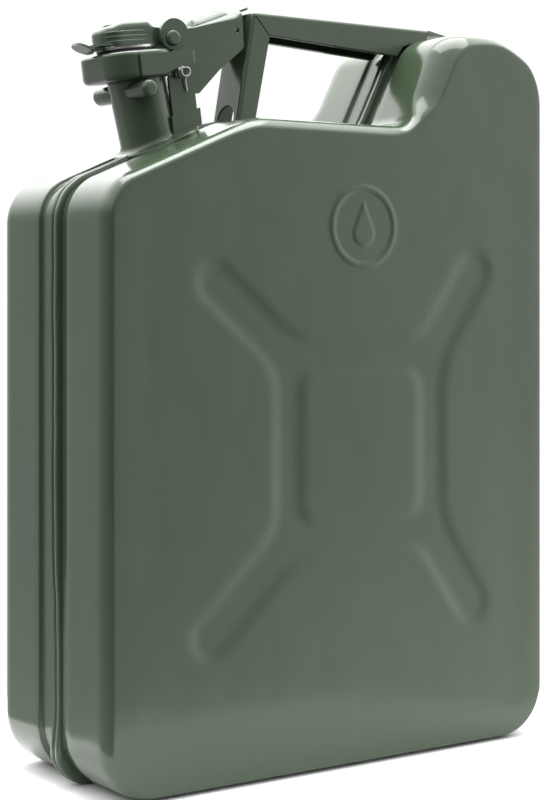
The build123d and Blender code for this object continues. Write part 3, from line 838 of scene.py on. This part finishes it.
def carrier():
    """Pressed channel over the cap with a rounded nose, an oval opening on top and an open hinge end."""
    plan = []
    runs = 26
    for k in range(runs):
        plan.append((CARRIER_END_X + (NOSE_MID_X - CARRIER_END_X) * k / runs, -CARRIER_HALF))
    for k in range(49):
        angle = -math.pi / 2 - math.pi * k / 48
        forward = abs(math.cos(angle)) ** NOSE_SQUARE
        aside = math.copysign(abs(math.sin(angle)) ** NOSE_SQUARE, math.sin(angle))
        plan.append((NOSE_MID_X - NOSE_REACH * forward, CARRIER_HALF * aside))
    for k in range(runs - 1, -1, -1):
        plan.append((CARRIER_END_X + (NOSE_MID_X - CARRIER_END_X) * k / runs, CARRIER_HALF))
    verts = []
    for x, y in plan:
        spine_x = max(x, NOSE_MID_X)
        column = []
        for k in range(6):
            column.append((x, y, CARRIER_LOW + (carrier_top(x) - SHOULDER_R - CARRIER_LOW) * k / 5))
        for k in range(1, 8):
            share = SHOULDER_R * (1.0 - math.cos(math.pi / 2 * k / 7)) / CARRIER_HALF
            px, py = x + (spine_x - x) * share, y * (1.0 - share)
            column.append((px, py, carrier_surface(px, py)))
        ex, ey, _ = column[-1]
        for k in range(1, 11):
            px, py = ex + (spine_x - ex) * k / 10, ey * (1.0 - k / 10)
            column.append((px, py, carrier_surface(px, py)))
        verts += [tuple(closure_point(*p)) for p in column]
    size = len(verts) // len(plan)
    flat = []
    for i in range(len(plan) - 1):
        for k in range(size - 1):
            flat.append((i * size + k, i * size + k + 1, (i + 1) * size + k + 1, (i + 1) * size + k))
    piece = make_piece("cap_carrier_shell", verts, flat, paint, "cap_carrier",
                       ["carrier_channel"])
    mesh = piece.data
    work = bmesh.new()
    work.from_mesh(mesh)
    bmesh.ops.remove_doubles(work, verts=work.verts, dist=0.02 * MM)
    inside_slot = []
    across = closure_point(1, 0, 0) - closure_point(0, 0, 0)
    for face in work.faces:
        middle = face.calc_center_median() / MM - MOUTH
        u = (middle.dot(across) - SLOT_MID_X) / SLOT_HALF[0]
        v = middle.y / SLOT_HALF[1]
        if u * u + v * v < 1.0:
            inside_slot.append(face)
    bmesh.ops.delete(work, geom=inside_slot, context="FACES")
    for vert in work.verts:
        place = vert.co / MM - MOUTH
        x = place.dot(across)
        u = (x - SLOT_MID_X) / SLOT_HALF[0]
        v = place.y / SLOT_HALF[1]
        reach = math.hypot(u, v)
        if vert.is_boundary and 0.6 < reach < 1.25:
            x = SLOT_MID_X + u / reach * SLOT_HALF[0]
            y = v / reach * SLOT_HALF[1]
            vert.co = closure_point(x, y, carrier_surface(x, y)) * MM
    bmesh.ops.recalc_face_normals(work, faces=work.faces)
    work.to_mesh(mesh)
    work.free()
    solid = piece.modifiers.new("sheet", "SOLIDIFY")
    solid.thickness = CARRIER_T * MM
    solid.offset = -1.0
    rims = piece.modifiers.new("rim", "BEVEL")
    rims.width = 0.25 * MM
    rims.segments = 2
    rims.angle_limit = math.radians(60.0)
    return piece


carrier()


def carrier_eyes():
    """Two hinge eyes of the carrier, on the pin."""
    panels = []
    for side in (-1, 1):
        y = side * (CARRIER_HALF - 0.05)
        cheek = [(3.0, 3.4), (3.0, 12.0), (9.2, 11.0)]
        for k in range(11):
            angle = math.pi / 2 - math.pi * k / 10
            cheek.append((PIVOT[0] + EYE_R * math.cos(angle), PIVOT[1] + EYE_R * math.sin(angle)))
        cheek.append((7.0, 2.6))
        panel = [closure_point(x, y, z) for x, z in cheek]
        panels.append(panel[::-1] if side < 0 else panel)
    return folded_sheet("carrier_eyes", panels, [], CARRIER_T - 0.1, "cap_carrier", [], 0.1)


carrier_eyes()


def opening_shade_sheet():
    """Black sheet under the opening on top of the carrier: painted shade for the dark inside, set where the
    rubber-lined cap would lie.
    """
    count = 48
    verts = []
    faces = []
    for ring in range(1, 6):
        for k in range(count):
            angle = 2 * math.pi * k / count
            x = SLOT_MID_X + SLOT_HALF[0] * 1.06 * ring / 5 * math.cos(angle)
            y = SLOT_HALF[1] * 1.06 * ring / 5 * math.sin(angle)
            verts.append(tuple(closure_point(x, y, carrier_surface(x, y * 0.8) - SHADE_SHEET_DROP)))
    for ring in range(4):
        for k in range(count):
            n = (k + 1) % count
            low, high = ring * count, (ring + 1) * count
            faces.append((high + k, high + n, low + n, low + k))
    faces.append(tuple(range(count)))
    # the black finish on this sheet paints the shade inside the opening
    return make_piece("opening_shade_sheet", verts, faces, black, "cap_carrier", [])


opening_shade_sheet()


def carrier_ribs():
    """Three pressed ribs along each cheek of the carrier and round its nose."""
    verts = []
    faces = []
    rings = 26
    wrap = 1.05
    for side in (-1, 1):
        for z, x_high in ((5.6, 1.0), (7.9, 0.6), (10.2, 0.0)):
            start = len(verts)
            straight = x_high - NOSE_MID_X
            whole = straight + wrap * CARRIER_HALF
            for k in range(rings):
                share = k / (rings - 1)
                swell = math.sin(math.pi * min(max(share, 0.03), 0.97)) ** 0.35
                run = whole * share
                if run < straight:
                    mid, out = (x_high - run, side * CARRIER_HALF), (0.0, side)
                else:
                    turn = (run - straight) / CARRIER_HALF
                    mid = (NOSE_MID_X - NOSE_REACH * math.sin(turn) ** NOSE_SQUARE,
                           side * CARRIER_HALF * math.cos(turn) ** NOSE_SQUARE)
                    out = (-math.sin(turn), side * math.cos(turn))
                for j in range(7):
                    angle = math.pi * j / 6
                    proud = 0.42 * math.sin(angle) * swell - 0.1
                    verts.append(tuple(closure_point(mid[0] + out[0] * proud, mid[1] + out[1] * proud,
                                                     z + 0.7 * math.cos(angle) * swell)))
            for k in range(rings - 1):
                for j in range(6):
                    a = start + k * 7 + j
                    quad = (a, a + 1, a + 8, a + 7)
                    faces.append(quad[::-1] if side > 0 else quad)
    return make_piece("carrier_ribs", verts, faces, paint, "cap_carrier", [])


carrier_ribs()


# --- lever ---

LEVER_HALF = 12.2
LEVER_T = 1.2
LEVER_START = (28.0, 9.6)
LEVER_RISE = math.radians(13.5)
LEVER_BACK = 57.0
LEVER_NOSE = [(LEVER_BACK, -3.0), (41.0, -12.8), (27.0, -23.7), (24.4, -23.7)]
LEVER_EYE_R = 4.6
LOCK_HOLE = (54.4, 7.0, 1.7)


def lever_height(x):
    """Height of the lever's top web."""
    return LEVER_START[1] + (x - LEVER_START[0]) * math.tan(LEVER_RISE)


def hole_edge(angle):
    """Place on the edge of the lock-pin hole."""
    x, z, radius = LOCK_HOLE
    return (x + radius * math.cos(angle), z + radius * math.sin(angle))


def lever():
    """Clamping lever: two cheeks and a rounded top web."""
    panels = []
    folds = []
    x0 = LEVER_START[0]
    x1 = LEVER_BACK + 2.3
    cuts = [x0, LOCK_HOLE[0], x1]
    for side in (-1, 1):
        y = side * LEVER_HALF
        hole = []
        for k in range(9):
            angle = math.pi / 2 + math.pi * k / 8
            hole.append(hole_edge(angle))
        low_cut = (LOCK_HOLE[0], -4.6)
        eye = []
        for k in range(11):
            angle = 1.9 + (math.pi * 1.12) * k / 10
            eye.append((PIVOT[0] + LEVER_EYE_R * math.cos(angle), PIVOT[1] + LEVER_EYE_R * math.sin(angle)))
        left = [(x0, lever_height(x0)), (cuts[1], lever_height(cuts[1]))]
        left += hole + [low_cut, *LEVER_NOSE[1:], (24.4, -2.0)] + eye[::-1]
        right = [(cuts[1], lever_height(cuts[1])), (x1, lever_height(x1)),
                 (LEVER_BACK + 0.8, -1.5), LEVER_NOSE[0], low_cut]
        for k in range(9):
            angle = -math.pi / 2 + math.pi * k / 8
            right.append(hole_edge(angle))
        for outline_points in (left, right):
            panel = [closure_point(x, y, z) for x, z in outline_points]
            panels.append(panel[::-1] if side < 0 else panel)
        for a, b in zip(cuts, cuts[1:]):
            folds.append((closure_point(a, y, lever_height(a)), closure_point(b, y, lever_height(b)), 1.0))
    for a, b in zip(cuts, cuts[1:]):
        web = []
        for x, y in ((a, -LEVER_HALF), (b, -LEVER_HALF), (b, LEVER_HALF), (a, LEVER_HALF)):
            web.append(closure_point(x, y, lever_height(x)))
        panels.append(web)
    return folded_sheet("clamp_lever", panels, folds, LEVER_T, "lever", ["lever_frame"], 4.2)


lever()


def lever_tongue():
    """Raised bead on the web, running out into the rounded lifting tongue."""
    verts = []
    faces = []
    stations = 30
    across = 12
    for k in range(stations):
        share = k / (stations - 1)
        along = -27.0 + 40.0 * share
        x = LEVER_BACK + along * math.cos(LEVER_RISE)
        base = lever_height(LEVER_BACK) + along * math.sin(LEVER_RISE)
        bead = smooth_step(0.0, 5.0, along + 26.5) * (1.0 - smooth_step(-3.5, 0.5, along))
        half = 6.0 if along < 8.0 else 6.5 * math.sqrt(max(0.02, 1.0 - ((along - 8.0) / 5.2) ** 2))
        if along < -22.0:
            half = 6.0 * math.sqrt(max(0.02, 1.0 - ((along + 22.0) / 5.2) ** 2))
        for j in range(across + 1):
            v = -1.0 + 2.0 * j / across
            rise = 3.6 * bead * max(0.0, 1.0 - abs(v) ** 2.2) - 0.05
            out_x, out_z = x - rise * math.sin(LEVER_RISE), base + rise * math.cos(LEVER_RISE)
            verts.append(tuple(closure_point(out_x, half * v, out_z)))
    for k in range(stations - 1):
        for j in range(across):
            a = k * (across + 1) + j
            faces.append((a, a + across + 1, a + across + 2, a + 1))
    piece = make_piece("lever_tongue", verts, faces, paint, "lever", [])
    solid = piece.modifiers.new("sheet", "SOLIDIFY")
    solid.thickness = 1.3 * MM
    solid.offset = -1.0
    edges = piece.modifiers.new("rim", "BEVEL")
    edges.width = 0.4 * MM
    edges.segments = 2
    edges.angle_limit = math.radians(60.0)
    return piece


lever_tongue()


def lever_lip():
    """Folded lip under the closed lever's nose."""
    corners = ((-12.0, -29.0), (12.0, -29.0), (12.0, -25.0), (-12.0, -25.0))
    back = [closure_point(23.0, y, z) for y, z in corners]
    out = [closure_point(x, y, -25.0) for x, y in ((23.0, -12.0), (23.0, 12.0), (25.4, 10.5), (25.4, -10.5))]
    fold = [(back[3], back[2], 1.0)]
    return folded_sheet("lever_lip", [back, out], fold, 1.1, "can", ["lever_stop"], 1.2)


lever_lip()


# --- straps, spring and lugs ---

STRAP_X = (-12.0, 20.4)
STRAP_OUT = 23.1
STRAP_IN = 14.4
STRAP_T = 1.6


def strap(name, side, node):
    """Flat arm along the collar, narrower towards the ear and turned in to meet it."""
    y = side * STRAP_OUT
    x_low, x_high = STRAP_X
    plate = [(x_low, -12.8), (2.0, -12.8), (9.0, -10.4), (x_high, -8.6), (x_high, -2.2), (x_low, -2.2)]
    panel = [closure_point(px, y, pz) for px, pz in plate]
    inner = side * STRAP_IN
    turned = [closure_point(x_high, y, -8.6), closure_point(x_high, inner, -8.6),
              closure_point(x_high, inner, -2.2), closure_point(x_high, y, -2.2)]
    if side > 0:
        panel = panel[::-1]
        turned = turned[::-1]
    fold = [(closure_point(x_high, y, -8.6), closure_point(x_high, y, -2.2), 1.0)]
    return folded_sheet(name, [panel, turned], fold, STRAP_T, "can", [node], 1.5, 0.4)


strap("strap_front", -1, "bracket_strap_front")
strap("strap_back", 1, "bracket_strap_back")

COIL_MID = (15.4, -12.6)
COIL_R = 2.3
WIRE_R = 0.55


def return_spring(name, side):
    """Small coil spring beside the bracket, with one leg behind the strap and one on the bracket."""
    curve = bpy.data.curves.new(name, "CURVE")
    curve.dimensions = "3D"
    curve.bevel_depth = WIRE_R * MM
    curve.bevel_resolution = 3
    curve.use_fill_caps = True
    path = [(4.5, 20.6, -9.4), (9.5, 20.6, -10.0)]
    turns = 3.4
    steps = 54
    for k in range(steps + 1):
        angle = math.pi * 0.62 - 2 * math.pi * turns * k / steps
        path.append((COIL_MID[0] + COIL_R * math.cos(angle), 20.6 - 4.6 * k / steps,
                     COIL_MID[1] + COIL_R * math.sin(angle)))
    path += [(17.2, 15.6, -18.0), (17.6, 15.4, -22.0)]
    spline = curve.splines.new("POLY")
    spline.points.add(len(path) - 1)
    for point, (x, y, z) in zip(spline.points, path):
        point.co = (*(closure_point(x, side * y, z) * MM), 1.0)
    piece = bpy.data.objects.new(name, curve)
    bpy.context.scene.collection.objects.link(piece)
    curve.materials.append(zinc)
    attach(piece, "can")
    return piece


return_spring("spring_front", -1)
return_spring("spring_back", 1)

LUG_MID = (-9.5, -19.6)
LUG_R = 4.7
LUG_REACH = 26.0
LUG_DOME = 2.4


def spout_lug(name, side, node):
    """Round lug with a domed end."""
    count = 40
    column = [(8.0, LUG_R), (14.0, LUG_R), (LUG_REACH - LUG_DOME, LUG_R)]
    for k in range(1, 9):
        angle = math.pi / 2 * k / 8
        column.append((LUG_REACH - LUG_DOME + LUG_DOME * math.sin(angle),
                       LUG_R - LUG_DOME * (1.0 - math.cos(angle))))
    column.append((LUG_REACH, 0.9))
    verts = []
    for y, radius in column:
        for k in range(count):
            angle = 2 * math.pi * k / count
            verts.append(tuple(closure_point(LUG_MID[0] + radius * math.cos(angle), side * y,
                                             LUG_MID[1] + radius * math.sin(angle))))
    faces = []
    for r in range(len(column) - 1):
        for k in range(count):
            n = (k + 1) % count
            quad = (r * count + k, r * count + n, (r + 1) * count + n, (r + 1) * count + k)
            faces.append(quad[::-1] if side > 0 else quad)
    last = (len(column) - 1) * count
    cap = tuple(range(last, last + count))
    faces.append(cap[::-1] if side > 0 else cap)
    return make_piece(name, verts, faces, paint, "can", [node])


spout_lug("lug_front", -1, "spout_lug_front")
spout_lug("lug_back", 1, "spout_lug_back")


# --- carried-over nodes ---

FINISH = {"olive_enamel": paint, "plated_steel": zinc, "black_rubber": black}
REPLACED = {"front_shell", "back_shell", "seam_bead", "neck_flange", "neck_tube", "handle_channel",
            "handle_end_tab", "carrier_channel", "lever_frame", "lever_stop",
            "bracket_strap_front", "bracket_strap_back", "spout_lug_front", "spout_lug_back"}
for part in frame["record"]["subparts"]:
    node = frame["nodes"][part["node"]]
    if part["node"] in REPLACED:
        continue
    node.data.materials.clear()
    node.data.materials.append(FINISH[part["material_slot"]])
    bevel(node, 0.35, 3)
    weigh_normals(node)


# --- stage, light and camera ---

def stage_floor():
    """Round pale floor under the object."""
    count = 96
    ring = []
    for k in range(count):
        angle = 2 * math.pi * k / count
        ring.append((FLOOR_RADIUS * math.cos(angle), FLOOR_RADIUS * math.sin(angle), -0.0002))
    mesh = bpy.data.meshes.new("floor")
    mesh.from_pydata(ring, [], [list(range(count))])
    floor = bpy.data.objects.new("floor", mesh)
    bpy.context.scene.collection.objects.link(floor)
    mesh.materials.append(floor_paint())


def soft_light(name, place, size, watts):
    """Large square area light aimed at the object's middle."""
    lamp = bpy.data.lights.new(name, "AREA")
    lamp.shape = "RECTANGLE"
    lamp.size, lamp.size_y = size
    lamp.energy = watts
    holder = bpy.data.objects.new(name, lamp)
    holder.location = place
    aim = Vector(TOP_LIGHT_AIM) - Vector(place)
    holder.rotation_euler = aim.to_track_quat("-Z", "Y").to_euler()
    bpy.context.scene.collection.objects.link(holder)
    return holder


def studio_world():
    """White backdrop to the eye; for the light, a soft room that is darker in front and bright behind."""
    world = bpy.data.worlds.new("studio")
    bpy.context.scene.world = world
    world.use_nodes = True
    nodes = world.node_tree.nodes
    links = world.node_tree.links
    nodes.clear()
    output = nodes.new("ShaderNodeOutputWorld")
    seen = nodes.new("ShaderNodeBackground")
    seen.inputs["Color"].default_value = (1.0, 1.0, 1.0, 1.0)
    seen.inputs["Strength"].default_value = 1.0
    room = nodes.new("ShaderNodeBackground")
    mix = nodes.new("ShaderNodeMixShader")
    path = nodes.new("ShaderNodeLightPath")
    links.new(path.outputs["Is Camera Ray"], mix.inputs["Fac"])
    links.new(room.outputs["Background"], mix.inputs[1])
    links.new(seen.outputs["Background"], mix.inputs[2])
    links.new(mix.outputs["Shader"], output.inputs["Surface"])
    split = nodes.new("ShaderNodeSeparateXYZ")
    links.new(nodes.new("ShaderNodeTexCoord").outputs["Generated"], split.inputs["Vector"])
    turn = nodes.new("ShaderNodeMath")
    turn.operation = "ARCTAN2"
    links.new(split.outputs["X"], turn.inputs[0])
    links.new(split.outputs["Y"], turn.inputs[1])
    around = nodes.new("ShaderNodeMapRange")
    around.inputs["From Min"].default_value = -math.pi
    around.inputs["From Max"].default_value = math.pi
    links.new(turn.outputs["Value"], around.inputs["Value"])
    low = ramp(nodes, links, around.outputs["Result"], [(p, (v,) * 3) for p, v in ROOM_LOW])
    high = ramp(nodes, links, around.outputs["Result"], [(p, (v,) * 3) for p, v in ROOM_HIGH])
    lift = nodes.new("ShaderNodeMapRange")
    lift.interpolation_type = "SMOOTHSTEP"
    lift.inputs["From Min"].default_value = ROOM_RISE[0]
    lift.inputs["From Max"].default_value = ROOM_RISE[1]
    links.new(split.outputs["Z"], lift.inputs["Value"])
    links.new(mix_colours(nodes, links, lift.outputs["Result"], low, high), room.inputs["Color"])


def photo_camera():
    """Level camera to the left of the emblem face."""
    data = bpy.data.cameras.new("camera")
    data.lens = CAMERA_LENS
    data.sensor_width = 36.0
    data.shift_x, data.shift_y = CAMERA_SHIFT
    data.clip_start = 0.01
    data.clip_end = 50.0
    camera = bpy.data.objects.new("camera", data)
    camera.location = CAMERA_PLACE
    camera.rotation_euler = (math.pi / 2, 0.0, -CAMERA_HEADING)
    bpy.context.scene.collection.objects.link(camera)
    bpy.context.scene.camera = camera


stage_floor()
studio_world()
soft_light("top_light", TOP_LIGHT_PLACE, TOP_LIGHT_SIZE, TOP_LIGHT_WATTS)
photo_camera()
bpy.context.scene.view_settings.view_transform = "Standard"
